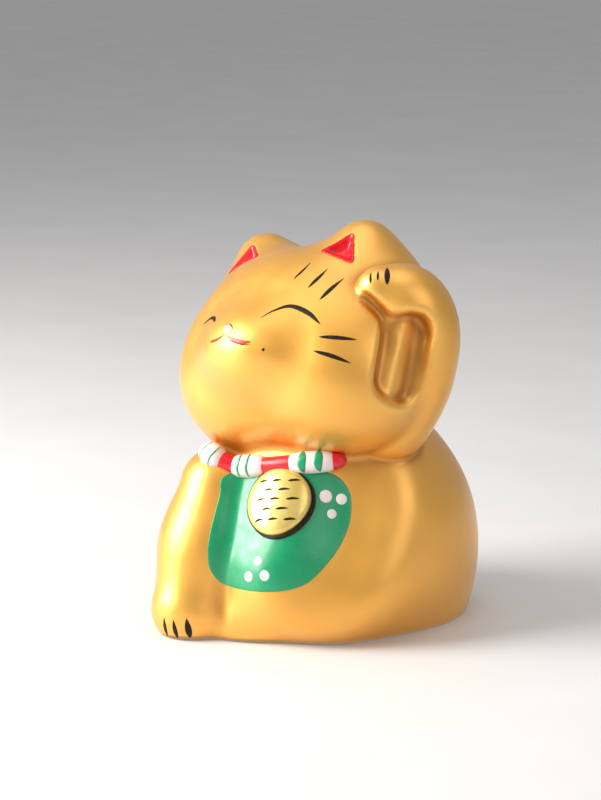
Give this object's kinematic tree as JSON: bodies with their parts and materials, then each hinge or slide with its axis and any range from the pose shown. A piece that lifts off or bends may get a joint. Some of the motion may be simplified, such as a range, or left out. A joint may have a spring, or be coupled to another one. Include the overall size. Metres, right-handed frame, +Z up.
{
  "type": "beckoning cat figurine",
  "caption": "Seated gold ceramic beckoning cat: hollow body and head, raised left paw, bib with oval coin, beaded collar and a soft plug in the base.",
  "frame": {"origin": "on the plane the figurine stands on, under the middle of its bounding box", "axes": "+Z up; the cat faces -Y; its raised left paw is on +X"},
  "size_m": [0.0542, 0.0584, 0.0756],
  "materials": {
    "gold_lacquer": "satin gold paint under clear gloss, over white earthenware",
    "red_enamel": "gloss",
    "white_enamel": "gloss",
    "green_enamel": "gloss",
    "pale_gold_enamel": "satin gloss",
    "grey_soft_plastic": "matt moulded"
  },
  "bodies": {
    "figurine": {"body_shell": "gold_lacquer", "head_shell": "gold_lacquer", "raised_arm": "gold_lacquer", "planted_leg": "gold_lacquer", "ear_lining_left": "red_enamel", "ear_lining_right": "red_enamel", "collar_band": "red_enamel", "collar_bead_left": "white_enamel", "collar_bead_centre": "white_enamel", "collar_bead_right": "white_enamel", "bib": "green_enamel", "koban_coin": "pale_gold_enamel"},
    "stopper": {"base_stopper": "grey_soft_plastic"}
  },
  "joints": [
    {"name": "stopper_pull", "type": "slide", "parent": "figurine", "child": "stopper", "axis": [0, 0, -1], "range_m": [0, 0.014]}
  ]
}
